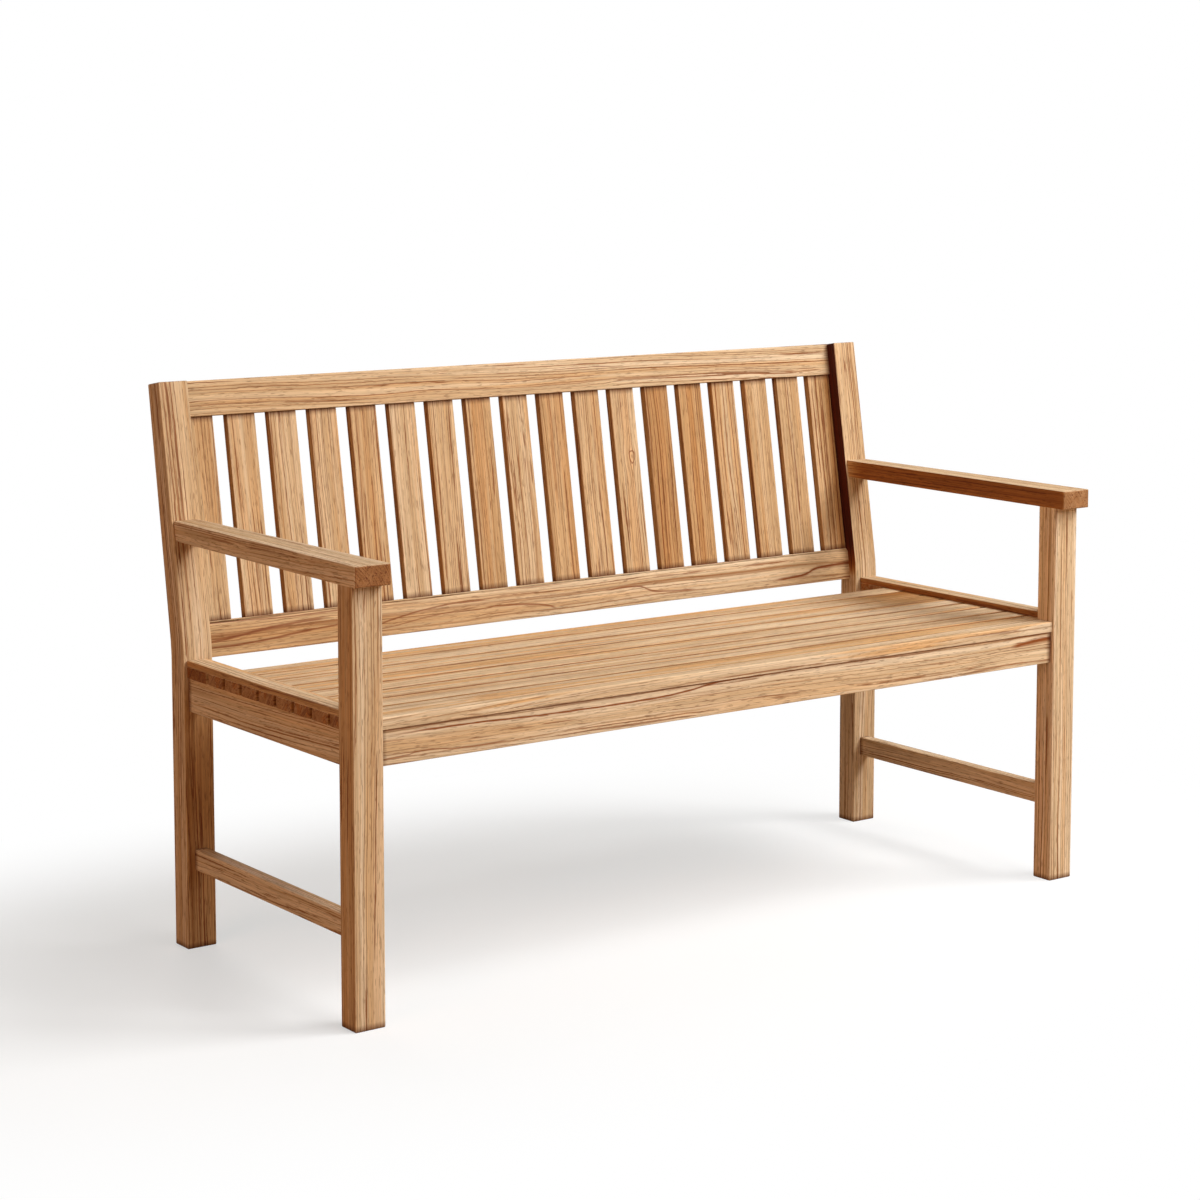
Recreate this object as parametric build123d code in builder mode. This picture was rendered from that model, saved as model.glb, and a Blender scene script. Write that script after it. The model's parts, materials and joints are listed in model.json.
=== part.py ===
"""Slatted settle with a raked back, open arms and a seat of lengthwise boards.

Sizes are millimetres. X runs along the settle, Y from its front to its back and Z up.
The origin is on the floor, under the middle of the whole settle.
"""

from build123d import *
from math import copysign, cos, radians, sin, tan
import os

os.makedirs("parts", exist_ok=True)

# Overall sizes
settle_length = 1380.0  # over the outer faces of the legs
frame_depth = 489.0  # front face of a front leg to front face of a back post
seat_rail_top = 416.0
arm_underside = 620.0
post_height = 857.0  # to the front corner of a post's top
back_rake = 9.5  # degrees from upright, above the bend in the posts

# Legs and back posts
leg_width = 48.0
front_leg_depth = 38.0
post_foot_depth = 40.0
post_top_depth = 36.0
post_bend_above_seat = 27.0

# Seat rails, bearers and low stretchers
rail_height = 51.0
rail_thickness = 22.0
apron_setback = 7.0  # behind the front faces of the front legs
side_rail_setback = 8.0  # inside the outer faces of the legs
back_seat_rail_setback = 8.0  # behind the front faces of the posts
back_seat_rail_drop = 12.0  # its top lies this far below the other seat rails
bearer_height = 40.0
bearer_thickness = 22.0
bearer_place_share = 1 / 3  # of the way from the middle to the end of the settle
stretcher_height = 32.0
stretcher_thickness = 20.0
stretcher_lift = 121.0

# Seat boards and the strips over their ends
board_thickness = 17.0
board_end_setback = 5.0  # inside the outer faces of the legs
front_board_width = 65.0
front_board_setback = 4.0  # behind the front faces of the front legs
seat_slat_count = 7
seat_slat_gap = 8.0
seat_back_space = 67.0  # from the last seat slat to the front faces of the posts
cap_width = 33.0
cap_height = 10.0

# Arms
arm_thickness = 30.0
arm_front_overhang = 20.0
arm_outer_overhang = 7.0  # past the front leg's outer face
arm_inner_overhang = 3.0  # past the front leg's inner face
arm_back_inset = 4.0  # inside both faces of the post
arm_corner_radius = 3.0

# Back rails and slats
back_rail_thickness = 18.0
back_rail_height_share = 0.135  # of the back's length along its slope, for both rails
lower_rail_above_seat = 7.0
lower_rail_bevel_height = 5.0
back_slat_count = 18
back_slat_width = 48.5
back_slat_thickness = 13.0
back_slat_setback = 4.0  # behind the front faces of the back rails

# Tenons
tenon_thickness = 8.0
tenon_shoulder = 6.0  # above and below each rail's tenon
rail_tenon_length = 24.0
stretcher_tenon_length = 20.0
bearer_tenon_length = 12.0
tenon_web = 1.0  # wood between two tenons that meet inside a leg
leg_tenon_width = 24.0
leg_tenon_depth = 18.0
leg_tenon_height = 16.0
arm_tenon_width = 24.0
arm_tenon_height = 14.0
arm_tenon_length = 20.0
slat_tenon_thickness = 7.0
slat_tenon_length = 12.0

# Screws
screw_length = 38.0
screw_shank_radius = 2.0
screw_head_radius = 4.0
screw_head_depth = 2.5
screw_recess = 0.5  # head below the face of the board

# Clearances and eased edges
glue_gap = 0.15  # round a tenon in its mortise
rest_gap = 0.3  # between neighbours that only meet
screw_gap = 0.1  # round a screw in its hole
arris = 1.5  # bevel along the edges of frame members and arms
slat_arris = 1.0  # bevel along the edges of slats, boards and strips

# Places along X, measured from the middle
leg_outer = settle_length / 2
leg_inner = leg_outer - leg_width
leg_centre_x = leg_outer - leg_width / 2
side_rail_x = leg_outer - side_rail_setback - rail_thickness / 2
bearer_x = bearer_place_share * leg_outer
board_end = leg_outer - board_end_setback
cap_x = board_end - cap_width / 2

# Places along Y, with the whole settle centred on the origin
rake = radians(back_rake)
seat_top = seat_rail_top + board_thickness
bend_height = seat_top + post_bend_above_seat
slope_length = (post_height - bend_height) / cos(rake)
whole_depth = arm_front_overhang + frame_depth
whole_depth += slope_length * sin(rake) + post_top_depth * cos(rake)
leg_front = arm_front_overhang - whole_depth / 2
leg_back = leg_front + front_leg_depth
leg_centre_y = leg_front + front_leg_depth / 2
post_front = leg_front + frame_depth
apron_y = leg_front + apron_setback + rail_thickness / 2
apron_back = apron_y + rail_thickness / 2
back_seat_rail_y = post_front + back_seat_rail_setback + rail_thickness / 2
back_seat_rail_front = back_seat_rail_y - rail_thickness / 2
front_board_front = leg_front + front_board_setback
front_board_back = front_board_front + front_board_width
seat_back = post_front - seat_back_space

# Heights
rail_z = seat_rail_top - rail_height / 2
back_seat_rail_top = seat_rail_top - back_seat_rail_drop
back_seat_rail_z = back_seat_rail_top - rail_height / 2
bearer_bottom = seat_rail_top - bearer_height
bearer_tenon_bottom = bearer_bottom + tenon_shoulder
bearer_tenon_top = back_seat_rail_top - tenon_shoulder
bearer_tenon_z = (bearer_tenon_bottom + bearer_tenon_top) / 2
stretcher_z = stretcher_lift + stretcher_height / 2
arm_top = arm_underside + arm_thickness
arm_centre_z = arm_underside + arm_thickness / 2
back_rail_height = back_rail_height_share * slope_length

# Tenon sizes that follow the rails
rail_tenon_height = rail_height - 2 * tenon_shoulder
stretcher_tenon_height = stretcher_height - 2 * tenon_shoulder
bearer_tenon_height = bearer_tenon_top - bearer_tenon_bottom
back_rail_tenon_height = back_rail_height - 2 * tenon_shoulder
slat_tenon_width = back_slat_width - 2 * tenon_shoulder
rail_tenon_end = leg_inner + rail_tenon_length
side_tenon_front = apron_y + tenon_thickness / 2 + tenon_web
side_tenon_back = back_seat_rail_y - tenon_thickness / 2 - tenon_web


# Planes and points

def at_x(x):
    """Upright plane across the settle; its own axes are Y and Z and it faces +X."""
    return Plane.YZ.offset(x)


def at_y(y):
    """Upright plane along the settle; its own axes are X and Z and it faces the front."""
    return Plane.XZ.offset(-y)


def at_z(z):
    """Level plane; its own axes are X and Y and it faces up."""
    return Plane.XY.offset(z)


def back_point(up, behind):
    """Y and Z of a point of the raked back.

    It lies `up` along the slope from the bend and `behind` the posts' front faces.
    """
    y = post_front + up * sin(rake) + behind * cos(rake)
    z = bend_height + up * cos(rake) - behind * sin(rake)
    return (y, z)


def across_slope(up):
    """Plane square to the slope; its own axes are X and the depth behind the posts' faces."""
    return Plane(origin=(0, *back_point(up, 0)), x_dir=(1, 0, 0), z_dir=(0, sin(rake), cos(rake)))


def post_face_y(z):
    """Where the raked front face of the posts is at a height above the bend."""
    return post_front + (z - bend_height) * tan(rake)


# Shaping steps that many pieces share

def add_bar(plane, centre, width, height, length, lean=0.0):
    """Add a bar of rectangular section to the piece under way, along the plane's normal."""
    with BuildSketch(plane) as section:
        with Locations(centre):
            Rectangle(width, height, rotation=-lean)
    extrude(section.sketch, amount=length)


def cut_mortise(plane, centre, width, height, length, lean=0.0):
    """Cut the hole for a tenon of the given size, larger by the glue gap all round.

    A negative length cuts against the plane's normal.
    """
    with BuildSketch(plane) as section:
        with Locations(centre):
            Rectangle(width + 2 * glue_gap, height + 2 * glue_gap, rotation=-lean)
    depth = length + copysign(glue_gap, length)
    extrude(section.sketch, amount=depth, mode=Mode.SUBTRACT)


def ease_long_edges(piece, axis, size):
    """Bevel the edges of a bar that run along one axis."""
    chamfer(piece.edges().filter_by(axis), size)


def keep(piece, name):
    """Label a finished piece and write it."""
    piece.part.label = name
    export_step(piece.part, f"parts/{name}.step")


def keep_pair(left, name):
    """Write a left-hand piece and its mirror image for the right-hand side."""
    keep(left, f"{name}_left")
    with BuildPart() as right:
        mirror(left.part, about=Plane.YZ)
    keep(right, f"{name}_right")


# Places of the seat boards and of their screws

seat_slat_space = seat_back - front_board_back
seat_slat_width = seat_slat_space / seat_slat_count - seat_slat_gap
seat_slat_centres = [
    front_board_back + (seat_slat_width + seat_slat_gap) * (i + 1) - seat_slat_width / 2
    for i in range(seat_slat_count)
]
packing_front = seat_back + seat_slat_gap
packing_back = post_front - rest_gap
packing_centre = (packing_front + packing_back) / 2
front_board_screw_y = (leg_back + front_board_back) / 2
screw_ys = [front_board_screw_y, *seat_slat_centres]
screw_top = seat_top - screw_recess


def drill_screw_holes(y):
    """Countersink a board near both ends for its screws into the side rails."""
    with Locations((-side_rail_x, y, seat_top), (side_rail_x, y, seat_top)):
        CounterSinkHole(
            screw_shank_radius + screw_gap,
            screw_head_radius + screw_recess + screw_gap,
            board_thickness,
        )


# Front legs

with BuildPart() as front_leg:
    foot = (-leg_centre_x, leg_centre_y)
    add_bar(at_z(0), foot, leg_width, front_leg_depth, arm_underside)
    upright_edges = front_leg.edges().filter_by(Axis.Z)
    foot_edges = front_leg.faces().sort_by(Axis.Z)[0].edges()
    chamfer(upright_edges + foot_edges, arris)
    add_bar(at_z(arm_underside), foot, leg_tenon_width, leg_tenon_depth, leg_tenon_height)
    cut_mortise(
        at_x(-leg_inner), (apron_y, rail_z), tenon_thickness, rail_tenon_height, -rail_tenon_length
    )
    cut_mortise(
        at_y(leg_back), (-side_rail_x, rail_z), tenon_thickness, rail_tenon_height,
        leg_back - side_tenon_front,
    )
    cut_mortise(
        at_y(leg_back), (-leg_centre_x, stretcher_z), tenon_thickness, stretcher_tenon_height,
        stretcher_tenon_length,
    )
keep_pair(front_leg, "front_leg")

# Back posts: leg and back post in one piece, bent above the seat and thinner at the top

top_rail_up = slope_length - back_rail_height / 2
lower_rail_behind = post_top_depth - back_rail_thickness
rail_middle_behind = lower_rail_behind + back_rail_thickness / 2
lower_rail_bottom_z = seat_top + lower_rail_above_seat
lower_rail_bottom = (lower_rail_bottom_z - bend_height + lower_rail_behind * sin(rake)) / cos(rake)
lower_rail_up = lower_rail_bottom + back_rail_height / 2
arm_tenon_face = post_face_y(arm_centre_z - arm_tenon_height / 2)
arm_tenon_run = post_face_y(arm_centre_z) - arm_tenon_face + arm_tenon_length

with BuildPart() as back_post:
    with BuildSketch(at_x(-leg_outer)):
        with BuildLine():
            Polyline(
                (post_front, 0),
                (post_front, bend_height),
                back_point(slope_length, 0),
                back_point(slope_length, post_top_depth),
                (post_front + post_foot_depth, bend_height - post_foot_depth * tan(rake / 2)),
                (post_front + post_foot_depth, 0),
                close=True,
            )
        make_face()
    extrude(amount=leg_width)
    side_edges = back_post.faces().filter_by(Axis.X).edges()
    cross_edges = back_post.edges().filter_by(Axis.X).sort_by(Axis.Z)
    chamfer(side_edges + cross_edges[:2] + cross_edges[-2:], arris)
    cut_mortise(
        at_x(-leg_inner), (back_seat_rail_y, back_seat_rail_z), tenon_thickness,
        rail_tenon_height, -rail_tenon_length,
    )
    cut_mortise(
        at_y(post_front), (-side_rail_x, rail_z), tenon_thickness, rail_tenon_height,
        post_front - side_tenon_back,
    )
    cut_mortise(
        at_y(post_front), (-leg_centre_x, stretcher_z), tenon_thickness, stretcher_tenon_height,
        -stretcher_tenon_length,
    )
    cut_mortise(
        at_x(-leg_inner), back_point(lower_rail_up, rail_middle_behind), tenon_thickness,
        back_rail_tenon_height, -rail_tenon_length, back_rake,
    )
    cut_mortise(
        at_x(-leg_inner), back_point(top_rail_up, rail_middle_behind), tenon_thickness,
        back_rail_tenon_height, -rail_tenon_length, back_rake,
    )
    cut_mortise(
        at_y(arm_tenon_face), (-leg_centre_x, arm_centre_z), arm_tenon_width, arm_tenon_height,
        -arm_tenon_run,
    )
keep_pair(back_post, "back_post")

# Seat rails

with BuildPart() as front_apron:
    add_bar(at_x(-leg_inner), (apron_y, rail_z), rail_thickness, rail_height, 2 * leg_inner)
    ease_long_edges(front_apron, Axis.X, arris)
    add_bar(
        at_x(-rail_tenon_end), (apron_y, rail_z), tenon_thickness, rail_tenon_height,
        2 * rail_tenon_end,
    )
    for side in (-1, 1):
        cut_mortise(
            at_y(apron_back), (side * bearer_x, bearer_tenon_z), tenon_thickness,
            bearer_tenon_height, bearer_tenon_length,
        )
keep(front_apron, "front_apron")

with BuildPart() as back_seat_rail:
    rail_middle = (back_seat_rail_y, back_seat_rail_z)
    add_bar(at_x(-leg_inner), rail_middle, rail_thickness, rail_height, 2 * leg_inner)
    ease_long_edges(back_seat_rail, Axis.X, arris)
    add_bar(
        at_x(-rail_tenon_end), rail_middle, tenon_thickness, rail_tenon_height,
        2 * rail_tenon_end,
    )
    for side in (-1, 1):
        cut_mortise(
            at_y(back_seat_rail_front), (side * bearer_x, bearer_tenon_z), tenon_thickness,
            bearer_tenon_height, -bearer_tenon_length,
        )
keep(back_seat_rail, "back_seat_rail")

with BuildPart() as side_rail:
    add_bar(
        at_y(leg_back), (-side_rail_x, rail_z), rail_thickness, rail_height,
        leg_back - post_front,
    )
    ease_long_edges(side_rail, Axis.Y, arris)
    add_bar(
        at_y(side_tenon_front), (-side_rail_x, rail_z), tenon_thickness, rail_tenon_height,
        side_tenon_front - side_tenon_back,
    )
    with Locations(*[(-side_rail_x, y, seat_rail_top) for y in screw_ys]):
        Cylinder(
            screw_shank_radius + screw_gap,
            seat_rail_top - screw_top + screw_length + screw_gap,
            align=(Align.CENTER, Align.CENTER, Align.MAX),
            mode=Mode.SUBTRACT,
        )
keep_pair(side_rail, "side_rail")

with BuildPart() as lower_stretcher:
    add_bar(
        at_y(leg_back), (-leg_centre_x, stretcher_z), stretcher_thickness, stretcher_height,
        leg_back - post_front,
    )
    ease_long_edges(lower_stretcher, Axis.Y, arris)
    add_bar(
        at_y(leg_back - stretcher_tenon_length), (-leg_centre_x, stretcher_z), tenon_thickness,
        stretcher_tenon_height, leg_back - post_front - 2 * stretcher_tenon_length,
    )
keep_pair(lower_stretcher, "lower_stretcher")

# Bearers under the long seat boards, cut down behind the seat to clear its back edge

with BuildPart() as seat_bearer:
    with BuildSketch(at_x(-bearer_x - bearer_thickness / 2)):
        with BuildLine():
            Polyline(
                (apron_back, bearer_bottom),
                (apron_back, seat_rail_top),
                (seat_back, seat_rail_top),
                (seat_back, back_seat_rail_top),
                (back_seat_rail_front, back_seat_rail_top),
                (back_seat_rail_front, bearer_bottom),
                close=True,
            )
        make_face()
    extrude(amount=bearer_thickness)
    add_bar(
        at_y(apron_back - bearer_tenon_length), (-bearer_x, bearer_tenon_z), tenon_thickness,
        bearer_tenon_height, apron_back - back_seat_rail_front - 2 * bearer_tenon_length,
    )
keep_pair(seat_bearer, "seat_bearer")

# Seat boards

with BuildPart() as front_seat_board:
    board_middle = (front_board_front + front_board_back) / 2
    with BuildSketch(at_z(seat_rail_top)):
        with Locations((0, board_middle)):
            Rectangle(2 * board_end, front_board_width)
        with Locations((-leg_centre_x, leg_centre_y), (leg_centre_x, leg_centre_y)):
            Rectangle(leg_width + 2 * rest_gap, front_leg_depth + 2 * rest_gap, mode=Mode.SUBTRACT)
    extrude(amount=board_thickness)
    top_edges = front_seat_board.faces().sort_by(Axis.Z)[-1].edges().filter_by(Axis.X)
    chamfer(top_edges.sort_by(Axis.Y)[0], arris)
    chamfer(front_seat_board.edges().filter_by(Axis.X).sort_by(Axis.Y)[-2:], slat_arris)
    drill_screw_holes(front_board_screw_y)
keep(front_seat_board, "front_seat_board")

for number, centre in enumerate(seat_slat_centres, start=1):
    with BuildPart() as seat_slat:
        add_bar(at_z(seat_rail_top), (0, centre), 2 * board_end, seat_slat_width, board_thickness)
        ease_long_edges(seat_slat, Axis.X, slat_arris)
        drill_screw_holes(centre)
    keep(seat_slat, f"seat_slat_{number}")

# Strips glued over the board ends, and the blocks that carry them behind the last slat

with BuildPart() as seat_end_cap:
    cap_front = leg_back + rest_gap
    cap_back = post_front - rest_gap
    cap_middle = (-cap_x, seat_top + cap_height / 2)
    add_bar(at_y(cap_front), cap_middle, cap_width, cap_height, cap_front - cap_back)
    ease_long_edges(seat_end_cap, Axis.Y, slat_arris)
keep_pair(seat_end_cap, "seat_end_cap")

with BuildPart() as cap_packing:
    packing_middle = (-cap_x, packing_centre)
    packing_depth = packing_back - packing_front
    add_bar(at_z(seat_rail_top), packing_middle, cap_width, packing_depth, board_thickness)
keep_pair(cap_packing, "cap_packing")

# Arms: wider over the front legs, cut to the rake where they meet the posts

with BuildPart() as arm:
    arm_front = leg_front - arm_front_overhang
    arm_back = post_face_y(arm_top)
    with BuildSketch(at_z(arm_underside)):
        with BuildLine():
            Polyline(
                (-leg_outer - arm_outer_overhang, arm_front),
                (-leg_inner + arm_inner_overhang, arm_front),
                (-leg_inner - arm_back_inset, arm_back),
                (-leg_outer + arm_back_inset, arm_back),
                close=True,
            )
        make_face()
    extrude(amount=arm_thickness)
    fillet(arm.edges().filter_by(Axis.Z).sort_by(Axis.Y)[:2], arm_corner_radius)
    face_edges = arm.faces().filter_by(Axis.Z).edges()
    chamfer(face_edges.sort_by(Axis.Y)[:-2], arris)
    post_face = Plane(
        origin=(0, post_front, bend_height), x_dir=(1, 0, 0), z_dir=(0, -cos(rake), sin(rake))
    )
    split(bisect_by=post_face, keep=Keep.TOP)
    add_bar(
        at_y(arm_tenon_face), (-leg_centre_x, arm_centre_z), arm_tenon_width, arm_tenon_height,
        -arm_tenon_run,
    )
    cut_mortise(
        at_z(arm_underside), (-leg_centre_x, leg_centre_y), leg_tenon_width, leg_tenon_depth,
        leg_tenon_height,
    )
keep_pair(arm, "arm")

# Back slats and the two rails that hold them

slat_run = 2 * leg_inner - 2 * rest_gap - back_slat_width
slat_pitch = slat_run / (back_slat_count - 1)
slat_xs = [-slat_run / 2 + slat_pitch * i for i in range(back_slat_count)]
slat_behind = lower_rail_behind + back_slat_setback + back_slat_thickness / 2
slat_bottom = lower_rail_bottom + back_rail_height
slat_top = slope_length - back_rail_height


def cut_slat_mortises(up, length):
    """Cut one rail's row of mortises, up or down the slope from one of its edges."""
    with BuildSketch(across_slope(up)) as section:
        with Locations(*[(x, slat_behind) for x in slat_xs]):
            Rectangle(slat_tenon_width + 2 * glue_gap, slat_tenon_thickness + 2 * glue_gap)
    depth = length + copysign(glue_gap, length)
    extrude(section.sketch, amount=depth, mode=Mode.SUBTRACT)


with BuildPart() as top_back_rail:
    rail_middle = back_point(top_rail_up, rail_middle_behind)
    add_bar(
        at_x(-leg_inner), rail_middle, back_rail_thickness, back_rail_height, 2 * leg_inner,
        back_rake,
    )
    ease_long_edges(top_back_rail, Axis.X, arris)
    add_bar(
        at_x(-rail_tenon_end), rail_middle, tenon_thickness, back_rail_tenon_height,
        2 * rail_tenon_end, back_rake,
    )
    cut_slat_mortises(slat_top, slat_tenon_length)
keep(top_back_rail, "top_back_rail")

with BuildPart() as lower_back_rail:
    rail_front = lower_rail_behind
    rail_back = lower_rail_behind + back_rail_thickness
    with BuildSketch(at_x(-leg_inner)):
        with BuildLine():
            Polyline(
                back_point(lower_rail_bottom, rail_front),
                back_point(slat_bottom - lower_rail_bevel_height, rail_front),
                back_point(slat_bottom, rail_front + back_slat_setback),
                back_point(slat_bottom, rail_back),
                back_point(lower_rail_bottom, rail_back),
                close=True,
            )
        make_face()
    extrude(amount=2 * leg_inner)
    add_bar(
        at_x(-rail_tenon_end), back_point(lower_rail_up, rail_middle_behind), tenon_thickness,
        back_rail_tenon_height, 2 * rail_tenon_end, back_rake,
    )
    cut_slat_mortises(slat_bottom, -slat_tenon_length)
keep(lower_back_rail, "lower_back_rail")

for number, slat_x in enumerate(slat_xs, start=1):
    with BuildPart() as back_slat:
        slat_middle = (slat_x, slat_behind)
        add_bar(
            across_slope(slat_bottom), slat_middle, back_slat_width, back_slat_thickness,
            slat_top - slat_bottom,
        )
        side_faces = back_slat.faces().filter_by(Axis.X)
        long_edges = side_faces[0].edges().sort_by(SortBy.LENGTH)[-2:]
        long_edges += side_faces[1].edges().sort_by(SortBy.LENGTH)[-2:]
        chamfer(long_edges, slat_arris)
        add_bar(
            across_slope(slat_bottom - slat_tenon_length), slat_middle, slat_tenon_width,
            slat_tenon_thickness, slat_top - slat_bottom + 2 * slat_tenon_length,
        )
    keep(back_slat, f"back_slat_{number:02d}")

# Countersunk screws through the board ends, hidden by the strips over them

with BuildPart() as screw:
    with BuildSketch(Plane.XZ):
        with BuildLine():
            Polyline(
                (0, 0),
                (screw_head_radius, 0),
                (screw_shank_radius, -screw_head_depth),
                (screw_shank_radius, -screw_length),
                (0, -screw_length),
                close=True,
            )
        make_face()
    revolve(axis=Axis.Z)

with BuildPart() as seat_end_screws:
    with Locations(*[(side * side_rail_x, y, screw_top) for y in screw_ys for side in (-1, 1)]):
        add(screw.part)
keep(seat_end_screws, "seat_end_screws")
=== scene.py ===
# %% [markdown]
# # A slatted oak settle
#
# The CAD model gives every board its size and its joints. This lesson dresses the boards:
# it works their eased edges out with numpy, gives each one a place in a tree, and grows
# one wood material through all of them. It ends with a pale floor, soft lamps and a camera.

import json
import math

import bpy
import numpy as np
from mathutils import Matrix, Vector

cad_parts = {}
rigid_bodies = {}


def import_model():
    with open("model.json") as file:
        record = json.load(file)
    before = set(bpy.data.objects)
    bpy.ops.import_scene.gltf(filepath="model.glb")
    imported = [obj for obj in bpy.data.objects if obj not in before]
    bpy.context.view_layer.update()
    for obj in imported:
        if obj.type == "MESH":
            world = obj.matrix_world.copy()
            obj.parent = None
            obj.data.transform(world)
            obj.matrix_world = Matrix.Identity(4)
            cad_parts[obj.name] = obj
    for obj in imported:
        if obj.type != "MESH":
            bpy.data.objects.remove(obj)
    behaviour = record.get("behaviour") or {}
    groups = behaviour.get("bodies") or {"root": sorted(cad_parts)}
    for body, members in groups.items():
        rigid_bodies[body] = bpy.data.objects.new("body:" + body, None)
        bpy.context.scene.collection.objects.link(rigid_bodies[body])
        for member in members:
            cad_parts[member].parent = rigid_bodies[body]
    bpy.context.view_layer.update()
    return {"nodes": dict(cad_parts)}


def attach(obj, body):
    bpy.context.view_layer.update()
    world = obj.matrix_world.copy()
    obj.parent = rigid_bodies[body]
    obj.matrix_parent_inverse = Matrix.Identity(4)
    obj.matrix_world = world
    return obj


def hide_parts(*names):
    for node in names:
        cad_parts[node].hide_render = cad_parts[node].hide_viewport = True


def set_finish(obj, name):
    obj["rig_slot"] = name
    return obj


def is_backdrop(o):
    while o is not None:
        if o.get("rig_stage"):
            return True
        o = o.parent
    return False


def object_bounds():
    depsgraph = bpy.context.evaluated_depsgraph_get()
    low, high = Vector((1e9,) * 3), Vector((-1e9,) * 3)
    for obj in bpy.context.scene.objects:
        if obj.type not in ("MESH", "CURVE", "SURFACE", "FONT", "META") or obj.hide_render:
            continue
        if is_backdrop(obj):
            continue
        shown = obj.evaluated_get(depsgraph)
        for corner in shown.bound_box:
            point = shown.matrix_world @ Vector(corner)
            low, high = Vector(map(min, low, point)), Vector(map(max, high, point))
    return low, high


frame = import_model()
print("CAD nodes:", len(frame["nodes"]))

# %% [markdown]
# ## The directions of the settle
#
# Most boards run level or upright, but the back leans. A board has three directions of its
# own: along the grain, across its width, and through its thickness. They are written here as
# the three rows of a matrix, so that one function can shape a seat slat, a rail and a leaning
# slat alike. Angles could also be given to the objects, but then their meshes would no longer
# lie in place, so the turning is done in the points.

# %% Board directions
rake = math.radians(9.5)
bend_height = 0.46
lean_up = (0, math.sin(rake), math.cos(rake))
lean_back = (0, math.cos(rake), -math.sin(rake))

LENGTHWISE = np.array([(1, 0, 0), (0, 1, 0), (0, 0, 1)], float)
FRONT_TO_BACK = np.array([(0, 1, 0), (1, 0, 0), (0, 0, 1)], float)
UPRIGHT = np.array([(0, 0, 1), (1, 0, 0), (0, 1, 0)], float)
LEANING = np.array([lean_up, (1, 0, 0), lean_back], float)
LEANING_RAIL = np.array([(1, 0, 0), lean_up, lean_back], float)


def measured(node, axes):
    """Lowest and highest corner of a CAD node, in a board's own directions."""
    mesh = frame["nodes"][node].data
    points = np.empty(len(mesh.vertices) * 3)
    mesh.vertices.foreach_get("co", points)
    points = points.reshape(-1, 3) @ axes.T
    return points.min(axis=0), points.max(axis=0)


slat_low, slat_high = measured("back_slat_01", LEANING)
print("A back slat is", np.round(slat_high - slat_low, 4), "m, tenons included")

# %% [markdown]
# ## Eased edges
#
# A joiner takes the sharp arris off every board with a few strokes of sandpaper. A bevel
# modifier could do that, but it treats all edges alike and leaves no record of where the
# edge is, which the finish needs later, because handled edges wear pale and get a painted
# highlight. So each board is a closed outline carried along a line. At every corner C the
# outline swaps the corner for the curve (1-t)^2 A + 2t(1-t) C + t^2 B, where A and B lie a
# little way from C on its two sides.
# The easing is never even: it grows and shrinks along the board by a sum of slow waves.

# %% Outline with eased corners
curve_points = 4
worn_margin = 0.003
arris = 0.0016


def rectangle(low, high):
    """Corners of a section, given its lowest and highest (across, through)."""
    return np.array([low, (high[0], low[1]), high, (low[0], high[1])], float)


def eased_outline(corners, easing):
    """Points round each ring's section, and how near each one is to an arris, 0 to 1.

    `corners` is rings x corners x 2, and `easing` is one distance for each ring.
    """
    to_last = np.roll(corners, 1, axis=1) - corners
    to_next = np.roll(corners, -1, axis=1) - corners
    to_last /= np.linalg.norm(to_last, axis=2, keepdims=True)
    to_next /= np.linalg.norm(to_next, axis=2, keepdims=True)
    reach = easing[:, None, None]
    t = np.linspace(0, 1, curve_points)[None, None, :, None]
    start = (corners + reach * to_last)[:, :, None]
    end = (corners + reach * to_next)[:, :, None]
    curve = (1 - t) ** 2 * start + 2 * t * (1 - t) * corners[:, :, None] + t**2 * end
    flat_before = (corners + (reach + worn_margin) * to_last)[:, :, None]
    flat_after = (corners + (reach + worn_margin) * to_next)[:, :, None]
    outline = np.concatenate([flat_before, curve, flat_after], axis=2)
    near_arris = np.tile([0.0] + [1.0] * curve_points + [0.0], corners.shape[1])
    return outline.reshape(len(corners), -1, 2), near_arris


def slow_waves(places, seed):
    """A gentle, seeded wave from 0 to 1 along a board: the mean of four sines."""
    rng = np.random.default_rng(seed)
    lengths = rng.uniform(0.06, 0.5, 4)
    starts = rng.uniform(0, 2 * math.pi, 4)
    waves = np.sin(2 * math.pi * places[:, None] / lengths + starts)
    return 0.5 + 0.5 * waves.mean(axis=1)


print("An eased corner turns in", curve_points - 1, "steps")

# %% [markdown]
# ## From outlines to a board
#
# A rail is thick between its shoulders and thin in its tenons. Each stretch of the board is a
# run: where it starts, where it ends, and its section. Rings of points stand along every run,
# neighbouring rings are joined by quads, and a flat face closes each end. An end that shows is
# rounded over a quarter circle: at the angle q the ring stands r(1 - cos q) along the board
# and is drawn in by r(1 - sin q). A cube with loop cuts could be pushed into the same shape,
# but rings keep every board's joints in a few numbers.

# %% Rings and faces
ring_spacing = 0.04
# Within this reach of a joint or a foot, a board is darkened by dirt and painted shade.
dirt_and_shade_reach = 0.01
end_angles = np.radians([0, 25, 50, 90])


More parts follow.
